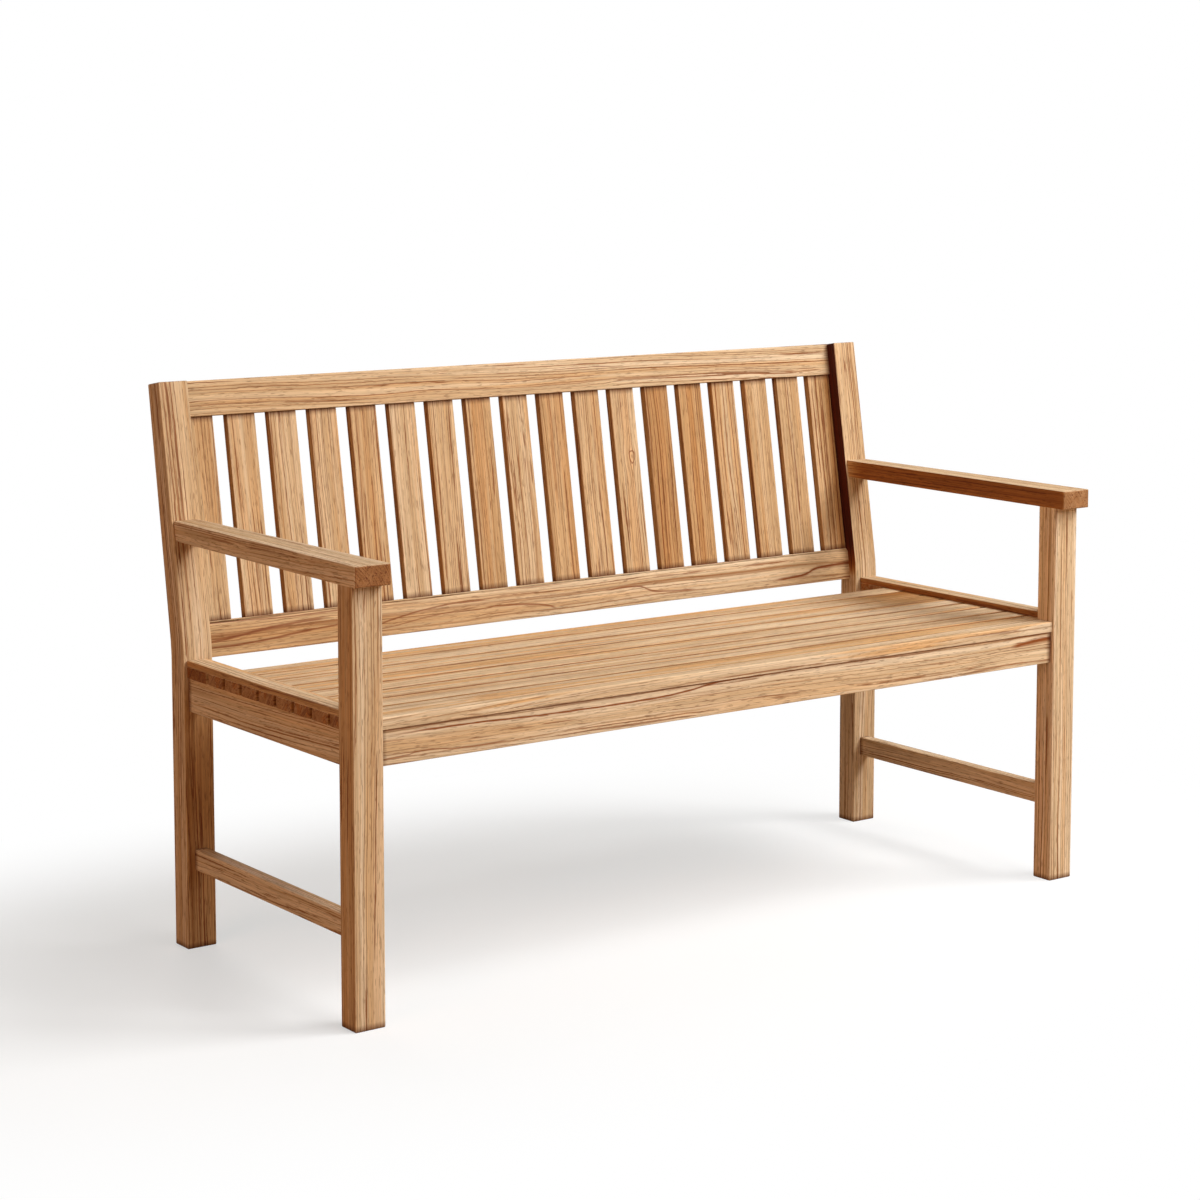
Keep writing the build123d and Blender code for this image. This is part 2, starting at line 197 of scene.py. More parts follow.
def run(start, end, corners, round_start=False, round_end=False):
    """Stations along one stretch of a board and the section's corners at each."""
    steps = max(2, round((end - start) / ring_spacing))
    stations = np.linspace(start, end, steps)
    if end - start > 4 * ring_spacing:
        stations = np.concatenate(
            [[start, start + dirt_and_shade_reach], stations[1:-1], [end - dirt_and_shade_reach, end]])
    drawn_in = np.zeros(len(stations))
    inset = arris * (1 - np.sin(end_angles))
    ahead = arris * (1 - np.cos(end_angles))
    if round_start:
        stations = np.concatenate([[start], start + ahead, stations[1:]])
        drawn_in = np.concatenate([[inset[0] + arris], inset, drawn_in[1:]])
    if round_end:
        stations = np.concatenate([stations[:-1], end - ahead[::-1], [end]])
        drawn_in = np.concatenate([drawn_in[:-1], inset[::-1], [inset[0] + arris]])
    middle = (corners.min(axis=0) + corners.max(axis=0)) / 2
    inwards = np.sign(middle - corners)
    return stations, corners[None] + drawn_in[:, None, None] * inwards[None]


def ring_faces(rings, around, inside_out):
    """Quads between neighbouring rings, and one flat face over each end."""
    i = np.arange(rings - 1)[:, None] * around
    j = np.arange(around)[None, :]
    k = (j + 1) % around
    quads = np.stack([i + j, i + k, i + around + k, i + around + j], axis=-1)
    faces = quads.reshape(-1, 4).tolist()
    faces.append(list(range(around))[::-1])
    faces.append(list(range((rings - 1) * around, rings * around)))
    return [face[::-1] for face in faces] if inside_out else faces


print("Rings stand", ring_spacing * 1000, "mm apart")

# %% [markdown]
# ## A place in the tree
#
# Wood grain is not a skin: it runs through the board, so the lines on a face, an edge and an
# end belong together. An image on each face could not do that. Instead every point of a
# board remembers where it grew: how far up the trunk, and how far from the pith in two
# directions. The numbers go into an attribute named grain. A second attribute, fibre, holds
# the direction of the grain, and the others say how worn the board is there, with a painted
# highlight on its edges, how dark it is, with painted light and shade on some faces, and
# how much dirt and painted shade lie at its joints.

# %% Darker and paler boards, painted light and shade, and knots
usual_tones = {
    "frame_wood": (-0.5, -0.1),
    "seat_wood": (-1.0, -0.5),
    "arm_wood": (-0.4, -0.1),
    "back_wood": (0.05, 0.22),
}
tones = {
    "back_slat_13": 0.38,
    "back_slat_14": 0.35,
    # The right part of the last slat is darker: painted shadow in the corner by the post.
    "back_slat_18": [(0.6, 0.05), (0.642, 0.5)],
    "top_back_rail": [(-0.66, 0.12), (0.2, 0.0), (0.66, -0.35)],
    "back_post_right": -0.9,
    "front_leg_left": -0.05,
    # The stretcher in the seat's shadow, the right front leg and the right end of the apron are
    # paler: painted light.
    "lower_stretcher_right": -0.6,
    "front_leg_right": -0.9,
    "front_apron": [(-0.66, -0.1), (0.1, -0.6), (0.66, -0.9)],
    "lower_back_rail": [(-0.66, 0.25), (-0.4, 0.2), (-0.2, 0.05), (0.45, 0.0), (0.66, 0.2)],
    "arm_left": -0.2,
    "arm_right": -0.5,
    # The left packing block is darker: painted shade, like the outer side of the end strip.
    "cap_packing_left": 0.3,
    "seat_slat_5": [(0.35, -0.6), (0.6, 0.4)],
    "seat_slat_6": [(0.3, -0.8), (0.6, 0.5)],
}
# Painted shade: faces turned away from the lamps, faces inside the seat gaps and the front of
# the left post under the seat get a darker tone, which changes with height. The left arm's
# front end is darker end grain.
painted_shade_faces = [
    ("back_post_right", (-1, 0, 0), [(0.43, -0.9), (0.5, 3.0)]),
    ("back_post_right", (0, -1, 0), [(0.42, -0.15), (0.5, 0.1)]),
    ("back_post_left", (0, -1, 0), [(0.36, 0.4), (0.42, 0.0), (0.5, 0.0), (0.6, 0.08)]),
    ("front_leg_left", (-1, 0, 0), [(0, 0.17)]),
    ("arm_left", (0, -1, 0), [(0, 0.2)]),
    ("arm_right", (-1, 0, 0), [(0, 1.0)]),
    ("seat_end_cap_left", (-1, 0, 0), [(0, 0.35)]),
    ("seat_end_cap_right", (-1, 0, 0), [(0, 0.8)]),
    ("back_slat", (-1, 0, 0), [(0, 0.4)]),
    ("seat_slat", (0, 1, 0), [(0, 0.7)]),
    ("seat_slat", (0, -1, 0), [(0, 0.7)]),
    ("front_seat_board", (0, 1, 0), [(0, 1.0)]),
]
knots = {"back_slat_12": (0.1905, 0.2636, 0.6855)}
no_knot = (9, 9, 9)


def board_tone(node, points, normals, usual):
    """How dark each point is: the board's own tone, and painted shade on faces turned from the
    light and in gaps.

    A list of (x, tone) changes along the board, and a dark face's list is (height, tone).
    """
    tone = tones.get(node, usual)
    if isinstance(tone, list):
        tone = np.interp(points[:, 0], *np.array(tone).T)
    tone = np.full(len(points), tone)
    for board, direction, heights in painted_shade_faces:
        if node.startswith(board):
            facing = np.clip((normals @ direction - 0.5) / 0.4, 0, 1)
            heart_and_shade = np.interp(points[:, 2], *np.array(heights).T)
            # Painted shade on the faces in the list above.
            tone += facing * np.maximum(heart_and_shade - tone, 0)
    return tone


print("Boards with knots:", ", ".join(knots))


# %% Keep a shaped board
board_count = 0
first_seed = 400
apart_in_trunk = 3.1  # metres along the trunk from one board to the next
pith_across = (0.07, 0.12)
pith_through = (0.05, 0.1)
steepest_grain = 0.012  # metres across for each metre along
sharp_angle = math.radians(40)


def add_values(mesh, name, values):
    """Store one number or one vector for each point of a mesh."""
    kind = "FLOAT" if values.ndim == 1 else "FLOAT_VECTOR"
    field = "value" if values.ndim == 1 else "vector"
    mesh.attributes.new(name, kind, "POINT").data.foreach_set(field, values.ravel())


def keep_board(node, points, faces, local, fibre, near_arris, slot, axes=LENGTHWISE, joint_dirt_and_shade=0):
    """Make the object, give it its place in the tree, and let it stand for the CAD node.

    A point's place in the tree is its place in the board, moved up the trunk and out from
    the pith, and across by a slope times its place along the board.
    """
    global board_count
    board_count += 1
    rng = np.random.default_rng(first_seed + board_count)
    pith = rng.uniform(*pith_across), rng.uniform(*pith_through)
    slope = rng.uniform(-steepest_grain, steepest_grain, 2)
    grain = np.empty_like(local)
    grain[:, 0] = local[:, 0] + apart_in_trunk * board_count
    grain[:, 1] = local[:, 1] + pith[0] + slope[0] * local[:, 0]
    grain[:, 2] = local[:, 2] + pith[1] + slope[1] * local[:, 0]

    mesh = bpy.data.meshes.new("planed_" + node)
    mesh.from_pydata(points.tolist(), [], faces)
    mesh.shade_smooth()
    mesh.set_sharp_from_angle(angle=sharp_angle)
    mesh.update()
    normals = np.empty(len(points) * 3)
    mesh.vertices.foreach_get("normal", normals)
    from_knot = (points - knots.get(node, no_knot)) @ axes.T
    add_values(mesh, "grain", grain)
    add_values(mesh, "fibre", np.array(fibre))
    add_values(mesh, "from_knot", from_knot)
    usual = rng.uniform(*usual_tones[slot])
    tone = board_tone(node, points, normals.reshape(-1, 3), usual)
    add_values(mesh, "tone", tone)
    # Edges are paled by rubbing and by a painted highlight, except on darker faces.
    add_values(mesh, "worn_and_highlit", near_arris * (1 - np.clip(tone, 0, 1)))
    # Dirt and painted shade at the joints, 0 to 1.
    add_values(mesh, "joint_dirt_and_shade", np.full(len(points), joint_dirt_and_shade, float))
    board = bpy.data.objects.new("planed_" + node, mesh)
    bpy.context.collection.objects.link(board)
    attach(board, "root")
    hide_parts(node)
    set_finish(board, slot)
    return board


def shape_board(node, axes, runs, slot, joints=()):
    """Carry the runs' sections along a straight board and keep it.

    `joints` are the stations of its shoulders or foot, where a little dirt and painted shade
    gather.
    """
    stations = np.concatenate([r[0] for r in runs])
    corners = np.concatenate([r[1] for r in runs])
    seed = len(bpy.data.objects)
    easing = arris * (0.55 + 0.45 * slow_waves(stations, seed))
    outline, near_arris = eased_outline(corners, easing)
    rings, around = outline.shape[:2]
    local = np.empty((rings, around, 3))
    local[:, :, 0] = stations[:, None]
    local[:, :, 1:] = outline
    local = local.reshape(-1, 3)
    inside_out = np.dot(np.cross(axes[1], axes[2]), axes[0]) < 0
    faces = ring_faces(rings, around, inside_out)
    centred = local - (local.min(axis=0) + local.max(axis=0)) / 2
    fibre = np.broadcast_to(axes[0], local.shape)
    worn_and_highlit = np.tile(near_arris, rings)
    joint_dirt_and_shade = np.zeros(rings)
    # Dirt and painted shade darken the board next to each shoulder or foot.
    for joint in joints:
        joint_dirt_and_shade += np.clip(1 - abs(stations - joint) / dirt_and_shade_reach, 0, 1)
    joint_dirt_and_shade = np.repeat(joint_dirt_and_shade, around)
    return keep_board(node, local @ axes, faces, centred, fibre, worn_and_highlit, slot, axes, joint_dirt_and_shade)


print("Boards will stand for", len(frame["nodes"]) - 1, "CAD nodes")

# %% [markdown]
# ## Tenons
#
# Rails, stretchers, bearers, slats and the legs under the arms all end in tenons, narrower
# blocks that sit glued in the mortises of their neighbours. They are out of sight, but a part
# that someone takes apart should show them. Small blocks joined on with booleans would do,
# but booleans leave ragged faces, so the tenons are runs of the same board.

# %% A bar with a tenon at each end
tenon_shoulder = 0.006
rail_tenon_thickness = 0.008


def tenon_section(corners, width, height):
    """Corners of a tenon of the given size in the middle of a section."""
    middle = (corners.min(axis=0) + corners.max(axis=0)) / 2
    half = np.array([width, height]) / 2
    return rectangle(middle - half, middle + half)


def tenoned_bar(node, axes, shoulders, tenon, slot):
    """A bar between two shoulders, with a tenon from each to the end of the CAD node."""
    low, high = measured(node, axes)
    full = rectangle(low[1:], high[1:])
    thin = tenon_section(full, *tenon)
    runs = [
        run(low[0], shoulders[0], thin),
        run(shoulders[0], shoulders[1], full),
        run(shoulders[1], high[0], thin),
    ]
    return shape_board(node, axes, runs, slot, shoulders)


leg_low, leg_high = measured("front_leg_right", LENGTHWISE)
post_low, post_high = measured("back_post_right", LENGTHWISE)
leg_inner, leg_outer = leg_low[0], leg_high[0]
leg_back = leg_high[1]
post_front = post_low[1]
print("Length between the legs:", round(2 * leg_inner, 4), "m")

# %% [markdown]
# ## Rails, stretchers and bearers
#
# The rails stop at the faces of the legs and posts. Their tenons keep a shoulder of 6 mm above
# and below, so a tenon's height follows the rail's. Each rail could be modelled by hand, but
# they differ only in place and size, and the CAD nodes give both, so loops shape them.

# %% Shape the seat frame
for node in ("front_apron", "back_seat_rail"):
    low, high = measured(node, LENGTHWISE)
    tenon = (rail_tenon_thickness, high[2] - low[2] - 2 * tenon_shoulder)
    tenoned_bar(node, LENGTHWISE, (-leg_inner, leg_inner), tenon, "frame_wood")

for node in ("side_rail", "lower_stretcher"):
    for side in ("left", "right"):
        name = f"{node}_{side}"
        low, high = measured(name, FRONT_TO_BACK)
        tenon = (rail_tenon_thickness, high[2] - low[2] - 2 * tenon_shoulder)
        tenoned_bar(name, FRONT_TO_BACK, (leg_back, post_front), tenon, "frame_wood")

apron_back = measured("front_apron", LENGTHWISE)[1][1]
back_rail_front = measured("back_seat_rail", LENGTHWISE)[0][1]
back_rail_top = measured("back_seat_rail", LENGTHWISE)[1][2]
seat_slats = sorted(node for node in frame["nodes"] if node.startswith("seat_slat_"))
seat_back = measured(seat_slats[-1], LENGTHWISE)[1][1]

for side in ("left", "right"):
    name = f"seat_bearer_{side}"
    low, high = measured(name, FRONT_TO_BACK)
    tall = rectangle(low[1:], high[1:])
    cut_down = rectangle(low[1:], (high[1], back_rail_top))
    tenon = (rail_tenon_thickness, back_rail_top - low[2] - 2 * tenon_shoulder)
    thin = tenon_section(cut_down, *tenon)
    runs = [
        run(low[0], apron_back, thin),
        run(apron_back, seat_back, tall),
        run(seat_back, back_rail_front, cut_down),
        run(back_rail_front, high[0], thin),
    ]
    shape_board(name, FRONT_TO_BACK, runs, "frame_wood")

print("Seat frame:", board_count, "pieces")

# %% [markdown]
# ## Front legs and back posts
#
# A front leg is one straight run with a tenon on top for the arm. A back post is leg and back
# support in one piece, sawn from a wide plank, so it bends without a joint. Its front and back
# faces are two lines in the side view. Each ring of the post runs from a point of the front
# line to the matching point of the back line, so the rings fan out through the bend. A curve
# modifier would bend a straight post too, but it would round the sharp turn of the saw.

# %% Shape the legs and posts
leg_tenon = (0.024, 0.018)
arm_underside = measured("arm_left", LENGTHWISE)[0][2]
post_foot_depth = 0.04
post_top_depth = 0.036
bend_reach = 0.012
foot_round_share = 0.0035  # of the post below the bend
top_round_share = 0.004  # of the post above it
half_rings = 12  # rings on each half of a post
post_height = post_high[2]
post_seeds = {"left": 7, "right": 8}

for side in ("left", "right"):
    name = f"front_leg_{side}"
    low, high = measured(name, UPRIGHT)
    full = rectangle(low[1:], high[1:])
    runs = [
        run(0, arm_underside, full, round_start=True),
        run(arm_underside, high[0], tenon_section(full, *leg_tenon)),
    ]
    shape_board(name, UPRIGHT, runs, "frame_wood", [0])


def post_lines(share):
    """Front and back points of a post's side view, at shares 0 to 3 of its length.

    0 is the foot, 1 lies just under the bend, 2 just over it and 3 is the top. Between
    these the points lie on straight lines.
    """
    slope_length = (post_height - bend_height) / math.cos(rake)
    mitre = post_foot_depth * math.tan(rake / 2)
    front = [
        (post_front, 0),
        (post_front, bend_height - bend_reach),
        (post_front + bend_reach * math.sin(rake), bend_height + bend_reach * math.cos(rake)),
        (post_front + slope_length * math.sin(rake), post_height),
    ]
    behind = post_front + post_foot_depth
    top_back = np.array(front[3]) + post_top_depth * np.array(lean_back)[1:]
    back = [
        (behind, 0),
        (behind, bend_height - mitre - bend_reach),
        (behind + bend_reach * math.sin(rake),
         bend_height - mitre + bend_reach * math.cos(rake)),
        tuple(top_back),
    ]
    front, back = np.array(front), np.array(back)
    corners = np.arange(4)
    front = np.stack([np.interp(share, corners, front[:, i]) for i in (0, 1)], axis=1)
    back = np.stack([np.interp(share, corners, back[:, i]) for i in (0, 1)], axis=1)
    return front, back


def shape_post(side):
    """Carry a section up the post's two lines, and round its foot and its top."""
    name = f"back_post_{side}"
    low, high = measured(name, UPRIGHT)
    foot = foot_round_share * (1 - np.cos(end_angles))
    top = top_round_share * (1 - np.cos(end_angles[::-1]))
    lower = np.linspace(0, 1, half_rings + 1)[1:]
    upper = np.linspace(2, 3, half_rings)[:-1]
    share = np.concatenate(
        [[0], foot, [dirt_and_shade_reach / bend_height], lower, upper, 3 - top, [3]])
    ends = arris * (1 - np.sin(end_angles))
    straight = np.zeros(2 * half_rings)
    drawn_in = np.concatenate([[2 * arris], ends, straight, ends[::-1], [2 * arris]])
    front, back = post_lines(share)
    depth = np.linalg.norm(back - front, axis=1)
    across = (low[1], high[1])
    corners = np.empty((len(share), 4, 2))
    corners[:, :, 0] = np.array([across[0], across[1], across[1], across[0]])
    corners[:, :2, 1] = 0
    corners[:, 2:, 1] = depth[:, None]
    inwards = np.array([(1, 1), (-1, 1), (-1, -1), (1, -1)], float)
    corners += drawn_in[:, None, None] * inwards
    climbed = np.concatenate([[0], np.cumsum(np.linalg.norm(np.diff(front, axis=0), axis=1))])
    easing = arris * (0.55 + 0.45 * slow_waves(climbed, post_seeds[side]))
    outline, near_arris = eased_outline(corners, easing)
    rings, around = outline.shape[:2]
    backwards = (back - front) / depth[:, None]
    points = np.empty((rings, around, 3))
    points[:, :, 0] = outline[:, :, 0]
    points[:, :, 1:] = front[:, None] + outline[:, :, 1:2] * backwards[:, None]
    local = np.empty((rings, around, 3))
    local[:, :, 0] = climbed[:, None]
    local[:, :, 1:] = outline - outline.mean(axis=(0, 1))
    upward = np.stack([np.zeros(rings), -backwards[:, 1], backwards[:, 0]], axis=1)
    fibre = np.repeat(upward, around, axis=0)
    worn_and_highlit = np.tile(near_arris, rings)
    faces = ring_faces(rings, around, False)
    # Dirt and painted shade darken the foot of the post.
    joint_dirt_and_shade = np.repeat(np.clip(1 - climbed / dirt_and_shade_reach, 0, 1), around)
    keep_board(name, points.reshape(-1, 3), faces, local.reshape(-1, 3), fibre, worn_and_highlit,
               "frame_wood", joint_dirt_and_shade=joint_dirt_and_shade)


for side in ("left", "right"):
    shape_post(side)

print("Post bends at", bend_height, "m and leans", round(math.degrees(rake), 1), "degrees")

# %% [markdown]
# ## Seat boards and end strips
#
# The front board is wider than the slats and its ends are narrow where they pass behind the
# front legs. The strips over the ends of the boards, and the blocks that carry the strips
# behind the last slat, are plain bars. The blocks are offcuts of a seat board, so their grain
# runs along the settle too. The notch needs no cutting: the board's section is narrower in
# its two end runs.

# %% Shape the seat
rest_gap = 0.0003
low, high = measured("front_seat_board", LENGTHWISE)
wide = rectangle(low[1:], high[1:])
notched = rectangle((leg_back + rest_gap, low[2]), high[1:])
runs = [
    run(low[0], -leg_inner + rest_gap, notched),
    run(-leg_inner + rest_gap, leg_inner - rest_gap, wide),
    run(leg_inner - rest_gap, high[0], notched),
]
shape_board("front_seat_board", LENGTHWISE, runs, "seat_wood")


def plain_bar(node, axes, slot):
    """A bar with no tenons and with both ends rounded."""
    low, high = measured(node, axes)
    section = rectangle(low[1:], high[1:])
    return shape_board(node, axes, [run(low[0], high[0], section, True, True)], slot)


for node in seat_slats:
    plain_bar(node, LENGTHWISE, "seat_wood")
for side in ("left", "right"):
    plain_bar(f"seat_end_cap_{side}", FRONT_TO_BACK, "seat_wood")
    plain_bar(f"cap_packing_{side}", LENGTHWISE, "seat_wood")

print("Seat done,", board_count, "pieces so far")

# %% [markdown]
# ## Arms
#
# An arm is widest over the front leg and narrows towards the post, where it is cut to the rake.
# Its width therefore follows its place along the board. The last full ring leans with the post:
# its points move back by the height above the arm's middle times the tangent of the rake.
# Scaling the back end of a plain bar would be quicker, but it would slant the tenon too.

# %% Shape the arms
arm_tenon = (0.024, 0.014)
arm_tenon_length = 0.02
arm_back_inset = 0.004
arm_corner = 0.003
arm_inner_overhang = 0.003
arm_outer_overhang = 0.007
first_arm_ring = 0.03
arm_rings = 14
arm_seeds = {"left": 21, "right": 22}


def shape_arm(side):
    """Carry a narrowing section from the rounded front end to the raked back end."""
    name = f"arm_{side}"
    low, high = measured(name, FRONT_TO_BACK)
    mirror = -1 if side == "left" else 1
    middle_z = (low[2] + high[2]) / 2
    post_face = post_front + (middle_z - bend_height) * math.tan(rake)
    front_x = (leg_inner - arm_inner_overhang, leg_outer + arm_outer_overhang)
    back_x = (leg_inner + arm_back_inset, leg_outer - arm_back_inset)
    ahead = arm_corner * (1 - np.cos(end_angles))
    even = np.linspace(first_arm_ring, post_face - low[0], arm_rings)
    along = np.concatenate([[0], ahead, even]) + low[0]
    rings_in_arm = len(along)
    narrow = np.zeros(rings_in_arm)
    narrow[1:5] = arm_corner * (1 - np.sin(end_angles))
    narrow[0] = 2 * arm_corner
    part = (along - low[0]) / (post_face - low[0])
    inner = front_x[0] + part * (back_x[0] - front_x[0]) + narrow
    outer = front_x[1] + part * (back_x[1] - front_x[1]) - narrow
    thin = 0.5 * narrow
    corners = np.stack(
        [np.stack([inner, low[2] + thin], 1), np.stack([outer, low[2] + thin], 1),
         np.stack([outer, high[2] - thin], 1), np.stack([inner, high[2] - thin], 1)], axis=1)
    centre = ((leg_inner + leg_outer) / 2, middle_z)
    half = np.array(arm_tenon) / 2
    tenon = rectangle(centre - half, centre + half)
    corners = np.concatenate([corners, [tenon, tenon]])
    along = np.concatenate([along, [post_face, post_face + arm_tenon_length]])
    easing = arris * (0.6 + 0.4 * slow_waves(along, arm_seeds[side]))
    outline, near_arris = eased_outline(corners, easing)
    rings, around = outline.shape[:2]
    local = np.empty((rings, around, 3))
    local[:, :, 0] = along[:, None]
    local[:, :, 1] = mirror * outline[:, :, 0]
    local[:, :, 2] = outline[:, :, 1]
    raked = local[rings_in_arm - 1 : rings_in_arm + 1]
    raked[:, :, 0] += (raked[:, :, 2] - middle_z) * math.tan(rake)
    local = local.reshape(-1, 3)
    faces = ring_faces(rings, around, mirror > 0)
    centred = local - (local.min(axis=0) + local.max(axis=0)) / 2
    fibre = np.broadcast_to(FRONT_TO_BACK[0], local.shape)
    worn_and_highlit = np.tile(near_arris, rings)
    keep_board(name, local @ FRONT_TO_BACK, faces, centred, fibre, worn_and_highlit, "arm_wood")


for side in ("left", "right"):
    shape_arm(side)

print("Arms are", round(measured("arm_left", LENGTHWISE)[1][2], 3), "m high")

# %% [markdown]
# ## The leaning back
#
# Eighteen slats stand between two rails. The top rail is square in section. The lower rail has
# a bevel along its upper front edge, which sheds water and shows as a pale strip, so its
# section has five corners, and its tenons get a fifth corner on a side to match. An array
# modifier could repeat one slat, but every slat grew in its own place, so a loop makes each.

# %% Shape the back
slat_setback = 0.004
bevel_height = 0.005
slat_tenon = (0.0365, 0.007)
slat_tenon_length = 0.012

low, high = measured("top_back_rail", LEANING_RAIL)
tenon = (high[1] - low[1] - 2 * tenon_shoulder, rail_tenon_thickness)
tenoned_bar("top_back_rail", LEANING_RAIL, (-leg_inner, leg_inner), tenon, "back_wood")

low, high = measured("lower_back_rail", LEANING_RAIL)
bevelled = np.array([
    (low[1], low[2]),
    (high[1] - bevel_height, low[2]),
    (high[1], low[2] + slat_setback),
    (high[1], high[2]),
    (low[1], high[2]),
])
thin = tenon_section(bevelled, high[1] - low[1] - 2 * tenon_shoulder, rail_tenon_thickness)
thin = np.insert(thin, 1, (thin[0] + thin[1]) / 2, axis=0)
runs = [
    run(low[0], -leg_inner, thin),
    run(-leg_inner, leg_inner, bevelled),
    run(leg_inner, high[0], thin),
]
shape_board("lower_back_rail", LEANING_RAIL, runs, "back_wood")

for number in range(1, 19):
    node = f"back_slat_{number:02d}"
    low, high = measured(node, LEANING)
    shoulders = (low[0] + slat_tenon_length, high[0] - slat_tenon_length)
    tenoned_bar(node, LEANING, shoulders, slat_tenon, "back_wood")

print("All boards shaped:", board_count)

# %% [markdown]
# ## Oak
#
# The material grows rings round the pith. It takes each point's place in the tree, bends it a
# little with slow noise, and measures its distance from the pith. That distance, counted in
# rings, repeats: each ring starts pale and ends in a narrow brown line. Noise that is drawn
# out along the grain adds fibres, pores and the tan and orange streaks of this wood. The same
# numbers drive colour, gloss and bump, so a pore is dark, dull and low at once.

# %% Node helpers
def add_node(tree, kind, **values):
    """Add a shader node and set its properties."""
    node = tree.nodes.new(kind)
    for name, value in values.items():
        setattr(node, name, value)
    return node


def feed(tree, socket, value):
    """Set a socket to a number or colour, or link another node's output to it."""
    if isinstance(value, bpy.types.NodeSocket):
        tree.links.new(value, socket)
    else:
        socket.default_value = value


def reckon(tree, operation, first, second=None, third=None):
    """One step of arithmetic in the shader."""
    node = add_node(tree, "ShaderNodeMath", operation=operation)
    for socket, value in zip(node.inputs, (first, second, third)):
        if value is not None:
            feed(tree, socket, value)
    return node.outputs[0]


def stretch(tree, vector, scale):
    """The grain's places times a scale for each direction."""
    node = add_node(tree, "ShaderNodeVectorMath", operation="MULTIPLY")
    feed(tree, node.inputs[0], vector)
    node.inputs[1].default_value = scale
    return node.outputs[0]


def noise(tree, vector, scale, detail=2.0, roughness=0.5):
    """Noise drawn out along the grain: scale is (along, across, through) per metre."""
    node = add_node(tree, "ShaderNodeTexNoise")
    feed(tree, node.inputs["Vector"], stretch(tree, vector, scale))
    node.inputs["Scale"].default_value = 1.0
    node.inputs["Detail"].default_value = detail
    node.inputs["Roughness"].default_value = roughness
    return node


def between(tree, value, low, high, to_low=0.0, to_high=1.0):
    """Map a range of numbers smoothly onto another range."""
    node = add_node(tree, "ShaderNodeMapRange", interpolation_type="SMOOTHSTEP")
    feed(tree, node.inputs["Value"], value)
    node.inputs["From Min"].default_value = low
    node.inputs["From Max"].default_value = high
    node.inputs["To Min"].default_value = to_low
    node.inputs["To Max"].default_value = to_high
    return node.outputs["Result"]


def blend(tree, amount, first, second, kind="MIX"):
    """Mix two colours."""
    node = add_node(tree, "ShaderNodeMix", data_type="RGBA", blend_type=kind)
    feed(tree, node.inputs["Factor"], amount)
    feed(tree, node.inputs["A"], first)
    feed(tree, node.inputs["B"], second)
    return node.outputs["Result"]


def linear(red, green, blue):
    """An sRGB colour, 0 to 255, as the linear colour that shaders use."""
    share = np.array([red, green, blue]) / 255
    value = np.where(share <= 0.04045, share / 12.92, ((share + 0.055) / 1.055) ** 2.4)
    return (*value.tolist(), 1.0)


print("Helpers ready")

# %% Wood colours
pale_wood = linear(219, 193, 158)
tan_wood = linear(199, 167, 126)
orange_wood = linear(209, 158, 99)
late_wood = linear(144, 92, 44)
line_brown = linear(132, 76, 32)
brown_streak = linear(158, 104, 56)
pore_brown = linear(100, 58, 26)
# Brown of knots and drawn lines, and of the painted shadow line on the apron.
mark_and_shadow_brown = linear(130, 66, 22)
# The pale tint is paler wood, and on a few boards painted light.
pale_and_lit_tint = (1.17, 1.23, 1.31, 1)
# The heartwood tint also paints shade on faces turned from the light.
heart_and_shade_tint = linear(216, 184, 143)
end_tint = linear(196, 164, 134)
# Tint of the dirt and painted shade at joints, such as where a slat meets the top rail.
dirt_and_shade_tint = linear(124, 82, 54)
# Pale colour of rubbed edges, which is both rubbing and a painted highlight.
worn_edge_and_highlight = linear(236, 204, 162)
pore_share = 0.45
knot_share = 0.8
dirt_and_shade_share = 0.9
heart_and_shade_power = 2.0
print("Colours: pale, tan, orange and brown")


# %% [markdown]
# ## Rings, streaks, a knot and drawn lines
#
# The wave texture draws rings as well, but all of one width. Here a ring is the fractional
# part of the distance from the pith, and the distance is stretched by noise first, so wet
# and dry years differ. A knot pulls the places round it towards its middle, which spreads
# the rings. The few bold lines that make the front apron and the lower back rail easy to
# know are drawn as curves of height along the board. One more such line on the apron is a
# painted shadow under the front board's edge.

# %% Where a point grew, and its rings
def push(tree, place, scale, distance):
    """Move places across the grain by up to half a distance, with noise of a scale."""
    wander = noise(tree, place, scale, detail=2).outputs["Color"]
    centred = add_node(tree, "ShaderNodeVectorMath", operation="SUBTRACT")
    feed(tree, centred.inputs[0], wander)
    centred.inputs[1].default_value = (0.5, 0.5, 0.5)
    moved = add_node(tree, "ShaderNodeVectorMath", operation="MULTIPLY_ADD")
    feed(tree, moved.inputs[0], centred.outputs[0])
    moved.inputs[1].default_value = (0, distance, distance)
    feed(tree, moved.inputs[2], place)
    return moved.outputs[0]


def late_lines(tree, place, ring_width):
    """The brown line that ends each ring, 0 to 1: a saw of the distance from the pith."""
    pith_distance = add_node(tree, "ShaderNodeVectorMath", operation="LENGTH")
    feed(tree, pith_distance.inputs[0], stretch(tree, place, (0, 1, 1)))
    radius = pith_distance.outputs["Value"]
    uneven = add_node(tree, "ShaderNodeTexNoise", noise_dimensions="1D")
    feed(tree, uneven.inputs["W"], reckon(tree, "MULTIPLY", radius, 110))
    uneven.inputs["Scale"].default_value = 1.0
    rings = reckon(tree, "MULTIPLY_ADD", radius, 1 / ring_width,
                   reckon(tree, "MULTIPLY", uneven.outputs["Fac"], 1.3))
    in_ring = reckon(tree, "FRACT", rings)
    rising = between(tree, in_ring, 0.66, 0.88)
    falling = between(tree, in_ring, 0.92, 1.0, 1.0, 0.0)
    patchy = between(tree, noise(tree, place, (2.5, 70, 70)).outputs["Fac"], 0.35, 0.6, 0.15, 1)
    return reckon(tree, "MULTIPLY", reckon(tree, "MULTIPLY", rising, falling), patchy)


